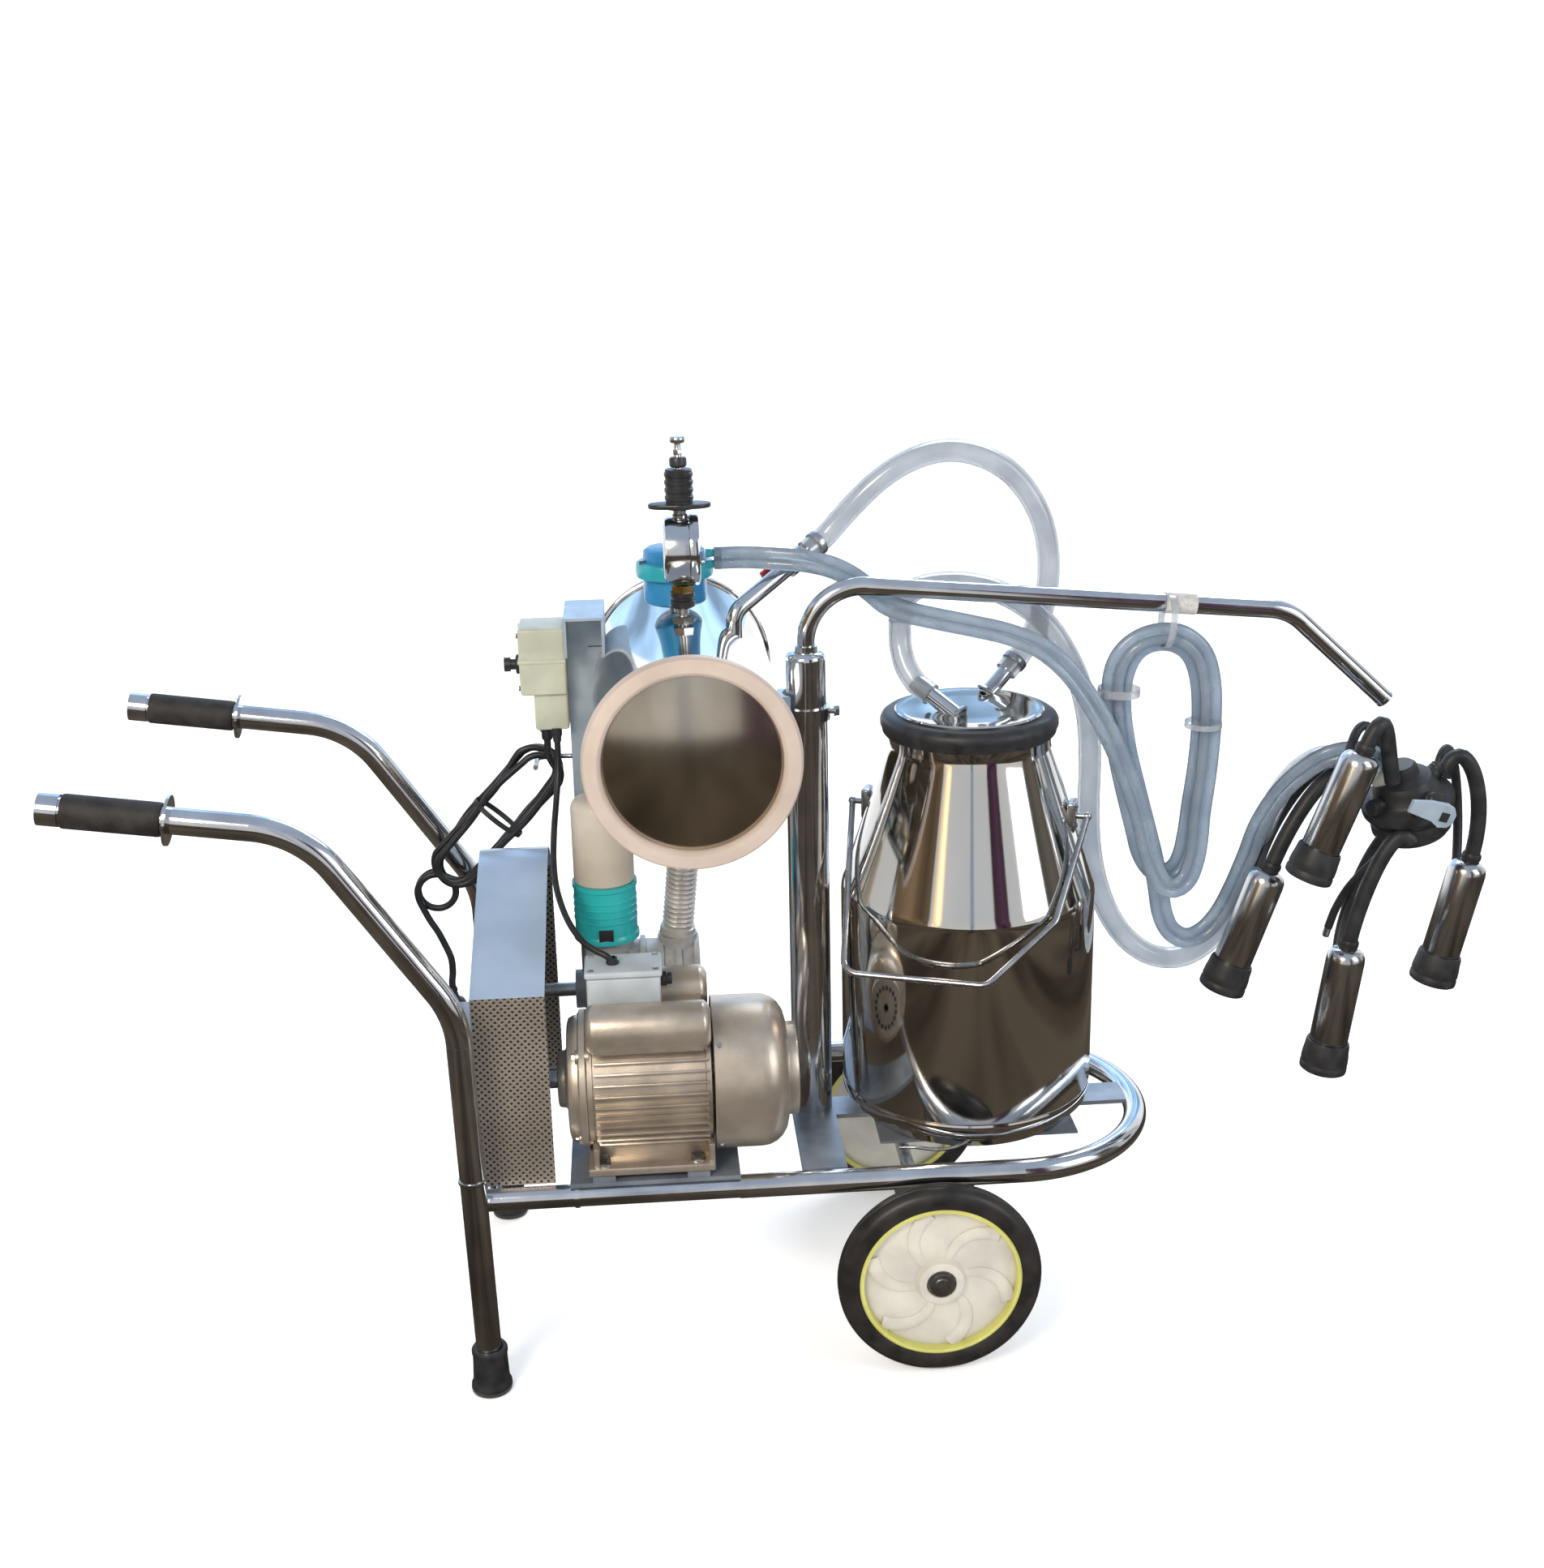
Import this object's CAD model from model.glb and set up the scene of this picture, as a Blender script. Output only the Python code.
from math import cos, pi, radians, sin, sqrt

import bmesh
import bpy
from mathutils import Matrix, Vector


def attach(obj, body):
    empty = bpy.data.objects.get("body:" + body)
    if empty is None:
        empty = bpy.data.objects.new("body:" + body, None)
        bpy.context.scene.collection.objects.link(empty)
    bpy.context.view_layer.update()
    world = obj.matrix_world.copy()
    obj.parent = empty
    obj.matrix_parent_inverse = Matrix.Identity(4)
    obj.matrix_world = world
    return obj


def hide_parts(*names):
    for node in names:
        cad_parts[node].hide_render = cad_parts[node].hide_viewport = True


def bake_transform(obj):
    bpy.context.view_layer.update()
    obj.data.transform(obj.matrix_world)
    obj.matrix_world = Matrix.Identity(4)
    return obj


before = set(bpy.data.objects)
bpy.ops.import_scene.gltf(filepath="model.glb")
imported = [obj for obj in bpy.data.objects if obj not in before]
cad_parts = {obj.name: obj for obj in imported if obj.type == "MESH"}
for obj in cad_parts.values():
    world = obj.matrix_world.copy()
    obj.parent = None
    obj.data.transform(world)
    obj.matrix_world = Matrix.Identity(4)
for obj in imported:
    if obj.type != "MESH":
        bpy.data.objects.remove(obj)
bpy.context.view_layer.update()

# Machine axes are millimetres with the post at X = 0, Y = 0; the row frame is metres.
SHIFT = Vector((-2.2, -17.5, 0.0))
X, Y, UP = (1, 0, 0), (0, 1, 0), (0, 0, 1)


def P(x, y, z):
    return (Vector((x, y, z)) + SHIFT) / 1000


# ------------------------------------------------------------------ camera
CAMERA_AT = (-173.5276, -1990.9723, 1255.8061)
CAMERA_RIGHT = Vector((0.9970249, -0.0742601, -0.0206587))
CAMERA_UP = Vector((0.04246318, 0.30548395, 0.95124993))
LENS_MM = 44.485
cam_data = bpy.data.cameras.new("camera")
cam_data.lens = LENS_MM
cam_data.sensor_width = 36
cam = bpy.data.objects.new("camera", cam_data)
bpy.context.scene.collection.objects.link(cam)
back = CAMERA_RIGHT.cross(CAMERA_UP)
cam.matrix_world = Matrix(((CAMERA_RIGHT.x, CAMERA_UP.x, back.x, 0), (CAMERA_RIGHT.y, CAMERA_UP.y, back.y, 0),
        (CAMERA_RIGHT.z, CAMERA_UP.z, back.z, 0), (0, 0, 0, 1)))
cam.location = P(*CAMERA_AT)
bpy.context.scene.camera = cam
bpy.context.scene.view_settings.view_transform = "Standard"


# ------------------------------------------------------------------ materials
M = {}


def new_object(name, data):
    obj = bpy.data.objects.new(name, data)
    bpy.context.scene.collection.objects.link(obj)
    return obj


def new_material(name):
    m = M[name] = bpy.data.materials.new(name)
    m.use_nodes = True
    return m, m.node_tree, m.node_tree.nodes["Principled BSDF"]


def wire(tree, node, **inputs):
    """Gives each input, named with _ for a space, a value or another node's output."""
    for key, value in inputs.items():
        socket = node.inputs[key.replace("_", " ")]
        if isinstance(value, bpy.types.NodeSocket):
            tree.links.new(value, socket)
        else:
            socket.default_value = value


def add(tree, kind, **inputs):
    node = tree.nodes.new("ShaderNode" + kind)
    wire(tree, node, **inputs)
    return node


def noise_at(tree, where, scale, **inputs):
    return add(tree, "TexNoise", Vector=where, Scale=scale, **inputs).outputs["Fac"]


def ramp(tree, fac, *stops):
    """A colour ramp: the two ends first, then any stop between them."""
    node = add(tree, "ValToRGB", Fac=fac)
    for element, (position, colour) in zip(node.color_ramp.elements, stops):
        element.position = position
        element.color = (*colour, 1)
    for position, colour in stops[2:]:
        node.color_ramp.elements.new(position).color = (*colour, 1)
    return node.outputs["Color"]


def span(tree, value, low, high):
    return add(tree, "MapRange", Value=value, To_Min=low, To_Max=high).outputs["Result"]


def lump(tree, height, strength):
    return add(tree, "Bump", Height=height, Strength=strength, Distance=0.001).outputs["Normal"]


def calc(tree, operation, *values):
    node = tree.nodes.new("ShaderNodeMath")
    node.operation = operation
    for socket, value in zip(node.inputs, values):
        if isinstance(value, bpy.types.NodeSocket):
            tree.links.new(value, socket)
        else:
            socket.default_value = value
    return node.outputs[0]


def surface(name, colour, other, rough, rough_var, metallic, scale, stretch=(1, 1, 1), bump=0.0,
        bump_scale=200.0, coat=0.0, transmission=0.0):
    """A surface whose colour and roughness wander with a noise, with a fine bump."""
    m, tree, shader = new_material(name)
    where = add(tree, "TexCoord").outputs["Object"]
    place = add(tree, "Mapping", Vector=where, Scale=stretch).outputs["Vector"]
    noise = noise_at(tree, place, scale, Detail=3)
    wire(tree, shader, Base_Color=ramp(tree, noise, (0.32, other), (0.68, colour)),
        Roughness=span(tree, noise, max(0.0, rough - rough_var), min(1.0, rough + rough_var)),
        Metallic=metallic, IOR=1.45, Coat_Weight=coat, Coat_Roughness=0.15, Transmission_Weight=transmission)
    if bump > 0:
        wire(tree, shader, Normal=lump(tree, noise_at(tree, place, bump_scale, Detail=4), bump))
    return m


surface("chrome", (0.74, 0.75, 0.77), (0.60, 0.61, 0.63), 0.13, 0.05, 1.0, 25, bump=0.02, bump_scale=90)
surface("mirror", (0.72, 0.70, 0.67), (0.62, 0.60, 0.57), 0.07, 0.03, 1.0, 9, (1, 1, 0.2), bump=0.03,
    bump_scale=25)
surface("dome", (0.64, 0.58, 0.48), (0.36, 0.31, 0.25), 0.17, 0.06, 1.0, 11, (1, 1, 0.5), bump=0.16,
    bump_scale=14)
surface("steel", (0.55, 0.55, 0.55), (0.40, 0.40, 0.41), 0.28, 0.08, 1.0, 60, bump=0.05)
surface("shell", (0.66, 0.66, 0.66), (0.50, 0.50, 0.50), 0.20, 0.07, 1.0, 40, (1, 1, 0.3), bump=0.04)
surface("deck", (0.30, 0.34, 0.39), (0.20, 0.23, 0.27), 0.38, 0.08, 0.55, 30, bump=0.08)
surface("bracket", (0.46, 0.55, 0.64), (0.34, 0.42, 0.50), 0.38, 0.08, 0.4, 30, bump=0.06)
surface("motor", (0.60, 0.52, 0.43), (0.46, 0.40, 0.33), 0.34, 0.07, 0.75, 35, bump=0.16, bump_scale=420)
surface("cast", (0.52, 0.52, 0.52), (0.38, 0.38, 0.38), 0.50, 0.08, 0.5, 50, bump=0.35, bump_scale=300)
surface("iron", (0.22, 0.22, 0.22), (0.12, 0.12, 0.12), 0.55, 0.08, 0.6, 50, bump=0.3, bump_scale=300)
surface("copper", (0.42, 0.16, 0.07), (0.25, 0.09, 0.04), 0.35, 0.10, 0.7, 70, (1, 6, 1))
surface("rubber", (0.028, 0.028, 0.030), (0.012, 0.012, 0.013), 0.48, 0.10, 0.0, 60, bump=0.10,
    bump_scale=350)
surface("tyre", (0.030, 0.026, 0.024), (0.012, 0.011, 0.010), 0.40, 0.10, 0.0, 40, bump=0.15, bump_scale=260)
surface("grip", (0.030, 0.027, 0.025), (0.012, 0.011, 0.011), 0.62, 0.10, 0.0, 50, bump=0.5, bump_scale=330)
surface("hub", (0.66, 0.63, 0.55), (0.52, 0.49, 0.43), 0.40, 0.08, 0.0, 22, bump=0.06, coat=0.1)
surface("hub_rim", (0.62, 0.60, 0.17), (0.52, 0.49, 0.12), 0.40, 0.08, 0.0, 30, bump=0.05, coat=0.1)
surface("cream", (0.56, 0.58, 0.46), (0.44, 0.45, 0.36), 0.35, 0.08, 0.0, 22, bump=0.04, coat=0.15)
surface("bottle", (0.66, 0.60, 0.50), (0.54, 0.47, 0.38), 0.30, 0.07, 0.0, 15, bump=0.04, transmission=0.15)
surface("oil_teal", (0.03, 0.50, 0.50), (0.02, 0.38, 0.40), 0.28, 0.06, 0.0, 18, bump=0.03, coat=0.2)
surface("gasket", (0.56, 0.46, 0.39), (0.45, 0.36, 0.30), 0.45, 0.08, 0.0, 16, bump=0.05, coat=0.1)
surface("blue", (0.03, 0.26, 0.52), (0.02, 0.17, 0.38), 0.26, 0.06, 0.0, 18, bump=0.03, coat=0.25)
surface("teal", (0.04, 0.42, 0.48), (0.02, 0.30, 0.36), 0.26, 0.06, 0.0, 18, bump=0.03, coat=0.25)
surface("black", (0.035, 0.035, 0.037), (0.015, 0.015, 0.016), 0.35, 0.08, 0.0, 45, bump=0.06)
surface("red", (0.62, 0.03, 0.02), (0.42, 0.02, 0.015), 0.32, 0.08, 0.0, 45, bump=0.03, coat=0.2)
surface("brass", (0.70, 0.48, 0.20), (0.52, 0.34, 0.13), 0.25, 0.08, 1.0, 60, bump=0.05)
surface("grey", (0.50, 0.55, 0.58), (0.40, 0.44, 0.47), 0.38, 0.08, 0.0, 30, bump=0.05)
surface("clear", (0.74, 0.77, 0.80), (0.58, 0.62, 0.66), 0.16, 0.05, 0.0, 25, bump=0.05, transmission=0.80)
surface("pulse", (0.54, 0.62, 0.70), (0.40, 0.48, 0.57), 0.17, 0.05, 0.0, 25, bump=0.05, transmission=0.68)
surface("ribbed", (0.62, 0.60, 0.57), (0.46, 0.44, 0.42), 0.30, 0.08, 0.35, 40, bump=0.05, transmission=0.1)
surface("tie", (0.72, 0.74, 0.76), (0.60, 0.62, 0.64), 0.25, 0.08, 0.0, 60, bump=0.03, transmission=0.7)
surface("white", (0.62, 0.62, 0.60), (0.54, 0.54, 0.52), 0.35, 0.08, 0.0, 60, bump=0.03)
surface("tape", (0.58, 0.57, 0.54), (0.44, 0.43, 0.40), 0.75, 0.10, 0.0, 240, bump=0.3, bump_scale=900)
surface("cord", (0.022, 0.022, 0.024), (0.010, 0.010, 0.011), 0.40, 0.08, 0.0, 60, bump=0.08)


HOLES_PER_M = 190


def perforated(name):
    """Sheet metal with rows of small dark holes."""
    m, tree, shader = new_material(name)
    where = add(tree, "TexCoord").outputs["Object"]
    turn = add(tree, "Mapping", Vector=where, Rotation=(0, radians(45), 0), Scale=(HOLES_PER_M,) * 3)
    axes = add(tree, "SeparateXYZ", Vector=turn.outputs["Vector"])
    squares = []
    for axis in ("X", "Z"):
        cell = calc(tree, "FRACT", axes.outputs[axis])
        squares.append(calc(tree, "POWER", calc(tree, "SUBTRACT", cell, 0.5), 2))
    hole = ramp(tree, calc(tree, "ADD", *squares), (0.060, (0.16, 0.13, 0.11)), (0.110, (1, 1, 1)))
    noise = noise_at(tree, where, 14)
    mix = add(tree, "Mix")
    mix.data_type = "RGBA"
    mix.blend_type = "MULTIPLY"
    wire(tree, mix, Factor=1, A=ramp(tree, noise, (0, (0.34, 0.30, 0.26)), (1, (0.56, 0.50, 0.43))), B=hole)
    wire(tree, shader, Base_Color=mix.outputs["Result"], Metallic=0.7, Roughness=span(tree, noise, 0.3, 0.5),
        Normal=lump(tree, hole, 0.5))


perforated("perforated")
surface("guard", (0.52, 0.62, 0.74), (0.42, 0.51, 0.62), 0.33, 0.06, 0.45, 12, bump=0.03)


# ------------------------------------------------------------------ shape helpers
def put(name, verts, faces, material):
    mesh = bpy.data.meshes.new(name)
    mesh.from_pydata([tuple(v) for v in verts], [], faces)
    mesh.update()
    work = bmesh.new()
    work.from_mesh(mesh)
    bmesh.ops.remove_doubles(work, verts=work.verts, dist=1e-6)
    bmesh.ops.recalc_face_normals(work, faces=work.faces)
    work.to_mesh(mesh)
    work.free()
    for poly in mesh.polygons:
        poly.use_smooth = True
    mesh.materials.append(M[material])
    obj = new_object(name, mesh)
    sharpen(obj)
    return obj


def sharpen(obj, angle=38):
    """Marks edges steeper than the angle as sharp, so that the rest shades smoothly."""
    work = bmesh.new()
    work.from_mesh(obj.data)
    limit = radians(angle)
    for e in work.edges:
        if len(e.link_faces) == 2 and e.calc_face_angle(0) > limit:
            e.smooth = False
    work.to_mesh(obj.data)
    work.free()


def axis_frame(direction):
    w = Vector(direction).normalized()
    helper = Vector((0, 0, 1)) if abs(w.z) < 0.9 else Vector((1, 0, 0))
    u = helper.cross(w).normalized()
    return u, w.cross(u), w


def lathe(profile, at, direction, material, sides=48, name="part"):
    """profile is (radius, height) pairs in mm along the direction, from the point at."""
    u, v, w = axis_frame(direction)
    at = Vector(at)
    verts, faces, rings = [], [], []
    for r, h in profile:
        if r < 1e-6:
            rings.append([len(verts)])
            verts.append(P(*(at + w * h)))
        else:
            ring = []
            for k in range(sides):
                a = 2 * pi * k / sides
                ring.append(len(verts))
                verts.append(P(*(at + w * h + u * (r * cos(a)) + v * (r * sin(a)))))
            rings.append(ring)
    for a, b in zip(rings, rings[1:]):
        for k in range(sides):
            n = (k + 1) % sides
            if len(a) == 1 and len(b) == 1:
                continue
            if len(a) == 1:
                faces.append((a[0], b[k], b[n]))
            elif len(b) == 1:
                faces.append((a[k], b[0], a[n]))
            else:
                faces.append((a[k], b[k], b[n], a[n]))
    return put(name, verts, faces, material)


def solid(profile):
    """Closes an outline of (radius, height) pairs on the axis."""
    return [(0, profile[0][1])] + list(profile) + [(0, profile[-1][1])]


def rounded(r, h0, h1, e=1.5):
    """The outline of a disc or drum with softened edges."""
    e = min(e, r * 0.4, abs(h1 - h0) * 0.45)
    k = 0.293 * e
    return [(0, h0), (r - e, h0), (r - k, h0 + k), (r, h0 + e), (r, h1 - e), (r - k, h1 - k), (r - e, h1),
        (0, h1)]


def ring_outline(r_in, r_out, h0, h1, e=1.0):
    k = 0.293 * e
    return [(r_in, h0 + e), (r_in + e, h0), (r_out - e, h0), (r_out - k, h0 + k), (r_out, h0 + e),
        (r_out, h1 - e), (r_out - k, h1 - k), (r_out - e, h1), (r_in + e, h1), (r_in, h1 - e), (r_in, h0 + e)]


def spline(points, step):
    """A smooth line through the points, in mm, with about one sample per step."""
    pts = [Vector(p) for p in points]
    pts = [pts[0] * 2 - pts[1]] + pts + [pts[-1] * 2 - pts[-2]]
    fine = []
    for i in range(1, len(pts) - 2):
        p0, p1, p2, p3 = pts[i - 1], pts[i], pts[i + 1], pts[i + 2]
        for k in range(16):
            t = k / 16
            fine.append(0.5 * ((2 * p1) + (p2 - p0) * t + (2 * p0 - 5 * p1 + 4 * p2 - p3) * t * t
                    + (3 * p1 - p0 - 3 * p2 + p3) * t ** 3))
    fine.append(pts[-2])
    return resample(fine, step)


def resample(line, step):
    dist = [0.0]
    for a, b in zip(line, line[1:]):
        dist.append(dist[-1] + (b - a).length)
    count = max(2, int(round(dist[-1] / step)) + 1)
    out, j = [], 0
    for k in range(count):
        want = dist[-1] * k / (count - 1)
        while j < len(dist) - 2 and dist[j + 1] < want:
            j += 1
        gap = dist[j + 1] - dist[j]
        f = 0 if gap < 1e-9 else (want - dist[j]) / gap
        out.append(line[j].lerp(line[j + 1], min(1, max(0, f))))
    return out


def frames_along(line, ref=None):
    """Tangent and two cross directions at each point; the first stays square to ref, or is carried along."""
    out, u = [], None
    for i, p in enumerate(line):
        t = (line[min(i + 1, len(line) - 1)] - line[max(i - 1, 0)]).normalized()
        if ref is not None:
            u = Vector(ref).cross(t).normalized()
        elif u is None:
            u = axis_frame(t)[0]
        else:
            u = (u - t * u.dot(t)).normalized()
        out.append((t, u, t.cross(u)))
    return out


def sweep(line, section, material, ref=None, scale=None, name="part"):
    """section is (u, v) pairs in mm round the line; scale gives a factor for each point."""
    verts, faces, n = [], [], len(section)
    for i, (p, (t, u, v)) in enumerate(zip(line, frames_along(line, ref))):
        s = 1 if scale is None else scale(i / (len(line) - 1))
        for a, b in section:
            verts.append(P(*(p + u * (a * s) + v * (b * s))))
    rings = len(line)
    for i in range(rings - 1):
        j = i + 1
        for k in range(n):
            faces.append((i * n + k, i * n + (k + 1) % n, j * n + (k + 1) % n, j * n + k))
    faces.append(tuple(range(n - 1, -1, -1)))
    faces.append(tuple((rings - 1) * n + k for k in range(n)))
    return put(name, verts, faces, material)


def circle(r, sides=20):
    return [(r * cos(2 * pi * k / sides), r * sin(2 * pi * k / sides)) for k in range(sides)]


def twin(r, sides=14):
    """Two round tubes side by side with a thin web: its outline is a figure of eight."""
    out = []
    gap = 24
    for k in range(sides):
        a = radians(gap + (360 - 2 * gap) * k / (sides - 1))
        out.append((-r - r * cos(a), r * sin(a)))
    right = [(-x, -y) for x, y in out]
    return out + right


def tube_wall(line, r, wall, material, sides=24, name="part"):
    """A hose with a real wall: an outer skin, an inner skin and two rims."""
    verts, faces = [], []
    rings = len(line)
    frames = frames_along(line)
    for radius in (r, r - wall):
        for p, (t, u, v) in zip(line, frames):
            for a, b in circle(radius, sides):
                verts.append(P(*(p + u * a + v * b)))
    half = rings * sides
    for i in range(rings - 1):
        for k in range(sides):
            n = (k + 1) % sides
            faces.append((i * sides + k, i * sides + n, (i + 1) * sides + n, (i + 1) * sides + k))
            faces.append((half + i * sides + k, half + (i + 1) * sides + k, half + (i + 1) * sides + n,
                    half + i * sides + n))
    for i in (0, rings - 1):
        for k in range(sides):
            n = (k + 1) % sides
            faces.append((i * sides + k, half + i * sides + k, half + i * sides + n, i * sides + n))
    return put(name, verts, faces, material)


def block(lo, hi, material, soft=1.5, segments=2, turn=None, centre=None, name="part"):
    """A box with rounded edges, from corner to corner in mm."""
    work = bmesh.new()
    bmesh.ops.create_cube(work, size=1)
    size = [hi[i] - lo[i] for i in range(3)]
    mid = [(hi[i] + lo[i]) / 2 for i in range(3)]
    for v in work.verts:
        v.co = Vector((v.co.x * size[0] + mid[0], v.co.y * size[1] + mid[1], v.co.z * size[2] + mid[2]))
    bmesh.ops.bevel(work, geom=list(work.edges), offset=min(soft, min(size) * 0.45), segments=segments,
        affect="EDGES", profile=0.5)
    if turn is not None:
        bmesh.ops.rotate(work, verts=work.verts, cent=Vector(centre or mid), matrix=turn)
    return from_bmesh(name, work, material)


def from_bmesh(name, work, material):
    for v in work.verts:
        v.co = P(*v.co)
    mesh = bpy.data.meshes.new(name)
    work.to_mesh(mesh)
    work.free()
    for poly in mesh.polygons:
        poly.use_smooth = True
    mesh.materials.append(M[material])
    obj = new_object(name, mesh)
    sharpen(obj)
    return obj


def plate(outline, thick, place, material, soft=0.8):
    """A flat plate: outline in (u, v) mm, thickness along w; place maps (u, v, w) to the machine axes."""
    work = bmesh.new()
    low = [work.verts.new((u, v, 0)) for u, v in outline]
    high = [work.verts.new((u, v, thick)) for u, v in outline]
    n = len(outline)
    work.faces.new(low[::-1])
    work.faces.new(high)
    for k in range(n):
        work.faces.new((low[k], low[(k + 1) % n], high[(k + 1) % n], high[k]))
    bmesh.ops.recalc_face_normals(work, faces=work.faces)
    if soft > 0:
        rim = [e for e in work.edges if abs(e.verts[0].co.z - e.verts[1].co.z) < 1e-6]
        bmesh.ops.bevel(work, geom=rim, offset=soft, segments=2, affect="EDGES", profile=0.5)
    for v in work.verts:
        v.co = Vector(place(*v.co))
    bmesh.ops.recalc_face_normals(work, faces=work.faces)
    return from_bmesh("part", work, material)


def join(name, objs):
    """Makes one piece of several, keeping each one's material."""
    slots = []
    for o in objs:
        for m in o.data.materials:
            if m not in slots:
                slots.append(m)
    work = bmesh.new()
    for o in objs:
        start = len(work.faces)
        work.from_mesh(o.data)
        work.faces.ensure_lookup_table()
        own = [slots.index(m) for m in o.data.materials]
        for f in work.faces[start:]:
            f.material_index = own[f.material_index]
    mesh = bpy.data.meshes.new(name)
    work.to_mesh(mesh)
    work.free()
    for m in slots:
        mesh.materials.append(m)
    for o in objs:
        bpy.data.objects.remove(o)
    return new_object(name, mesh)


def done(obj, body, slot, *nodes):
    """Puts a finished piece on its body and its slot, in place of the CAD nodes named."""
    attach(obj, body)
    if nodes:
        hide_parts(*nodes)
    return obj


def bent(obj, body, start, end, slot, *nodes):
    """As done, for a hose that bends from the frame to the body between two points."""
    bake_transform(obj)
    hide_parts(*nodes)


def hexagon(at, direction, across, h0, h1, material):
    """A hexagon head or nut with a chamfered top."""
    r = across / sqrt(3)
    return lathe([(0, h0), (r, h0), (r, h1 - 0.6), (r * 0.9, h1), (0, h1)], at, direction, material, sides=6)


# ------------------------------------------------------------------ hoses and cords
HOSE_R, HOSE_WALL = 12.5, 3.2
vacuum_points = [(8, 67.6, 849.8), (18.8, 73.6, 856.4), (29.4, 79.7, 863.2), (44, 80, 879), (62, 77, 899),
    (84, 75, 920), (110, 75, 938), (140, 75, 950), (170, 75, 953), (200, 75, 946), (228, 75, 930),
    (250, 75, 906), (266, 75, 876), (274, 75, 842), (275, 75, 808), (270, 76, 776), (260, 79, 748),
    (247.9, 80.6, 725.3), (237.6, 75.3, 715.6), (228.8, 70.8, 707.3)]
milk_lower_points = [(134, -1, 703.8), (127.5, 5.5, 708.4), (120.4, 12.6, 713.4), (111, 24, 729),
    (106.5, 34, 748), (106, 38, 764), (106, 38, 779)]
milk_points = [(106, 38, 778), (106, 38, 785), (110, 41, 798), (124, 44, 810), (150, 44, 815), (180, 43, 814),
    (210, 42, 806), (240, 41, 790), (266, 40, 768), (287, 39, 738), (304, 38, 702), (315, 38, 660),
    (319, 38, 610), (319, 38, 560), (322, 38, 510), (331, 38, 465), (347, 37, 424), (370, 36, 392),
    (400, 35, 372), (432, 34, 370), (460, 33, 386), (482, 32, 416), (498, 31, 456), (512, 29, 500),
    (523, 26, 543), (535, 20, 575), (550, 10, 600), (567, -1, 614.5), (585, -10, 617), (599.3, -15, 612.4),
    (613, -16.2, 605.5)]

vacuum_line = spline(vacuum_points, 6)
vacuum_hose = tube_wall(vacuum_line, HOSE_R, HOSE_WALL, "clear", name="vacuum_hose_tube")
bent(vacuum_hose, "lid", P(150, 75, 820), P(240, 75, 720), "clear_hose", "vacuum_hose")

lower_line = spline(milk_lower_points, 5)
milk_lower = tube_wall(lower_line, HOSE_R, HOSE_WALL, "clear", name="milk_hose_lower_tube")
bent(milk_lower, "lid", P(106, 38, 772), P(122, 10, 713), "clear_hose", "milk_hose_lower")

milk_line = spline(milk_points, 6)
milk_hose = tube_wall(milk_line, HOSE_R, HOSE_WALL, "clear", name="milk_hose_tube")
bent(milk_hose, "arm", P(112, 40, 760), P(300, 38, 760), "clear_hose", "milk_hose")

# The pulse hose: from the pulsator along the arm, two loops tied up under the arm, then to the claw.
PULSE_R = 6
pulse_start = [(-92, 50, 850), (-82, 50, 850), (-74, 50, 850), (-58, 44, 851), (-30, 32, 851), (0, 24, 849),
    (28, 20, 843), (52, 19, 831), (72, 18, 815), (90, 17, 800), (116, 14, 790), (148, 8, 783), (182, 2, 776),
    (216, -4, 768), (246, -12, 756), (272, -20, 736), (294, -25, 709), (314, -28, 676), (332, -29, 640),
    (348, -29, 602), (362, -28, 562), (372, -27, 524), (381, -25, 497), (392, -22, 481), (406, -19, 476),
    (419, -17, 485), (427, -15, 508), (430, -14, 534)]
turn_one = [(431, -14, 560), (436, -13, 610), (438, -13, 660), (436, -12, 706), (426, -11, 740),
    (404, -10, 760), (376, -9, 763), (350, -7, 752), (334, -5, 728), (331, -4, 690), (338, -3, 640),
    (350, -1, 590), (363, 0, 542), (371, 0, 513), (382, 1, 494), (396, 1, 486), (409, 1, 490), (418, 1, 506),
    (423, 1, 534)]
turn_two = [(426, 1, 566), (431, 1, 612), (433, 1, 660), (430, 2, 704), (420, 3, 734), (401, 4, 750),
    (378, 5, 752), (358, 6, 742), (346, 7, 718), (343, 7, 684), (350, 7, 636), (362, 7, 590), (376, 7, 540),
    (387, 8, 500), (394, 9, 468)]
pulse_end = [(400, 10, 436), (410, 10, 414), (428, 11, 402), (448, 12, 408), (466, 12, 428), (480, 12, 456),
    (494, 10, 496), (506, 6, 538), (524, -5, 578), (546, -19, 608), (566, -28, 624), (586, -34, 630),
    (606, -37, 628), (624, -37, 618)]
pulse_line = spline(pulse_start + turn_one + turn_two + pulse_end, 6)
pulse_hose = sweep(pulse_line, twin(PULSE_R), "pulse", ref=(0, 1, 0), name="pulse_hose_tube")
bent(pulse_hose, "arm", P(-60, 30, 800), P(285, 0, 760), "pulse_tube", "pulse_hose", "hose_hank")

# The mains cord: out of the gland, flat loops in a hank behind the handle, a round loop, the tail, the plug.
CORD_R = 4
HANK_TOP, HANK_LOW, HANK_LOOP = Vector((-299, 0, 590)), Vector((-396, 0, 482)), Vector((-424, 0, 446))
LOOPS = 4
power_points = [(-284, 130, 648), (-284, 130, 632), (-284, 131, 616)]
reach = (HANK_LOW - HANK_TOP).normalized()
side = Vector((-reach.z, 0, reach.x))


def hank_point(along, out, depth):
    """A point of the hank: along its run from 0 to 1, out to one side, and back from the front."""
    p = HANK_TOP.lerp(HANK_LOW, along) + side * out
    return p.x, depth, p.z


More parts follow.
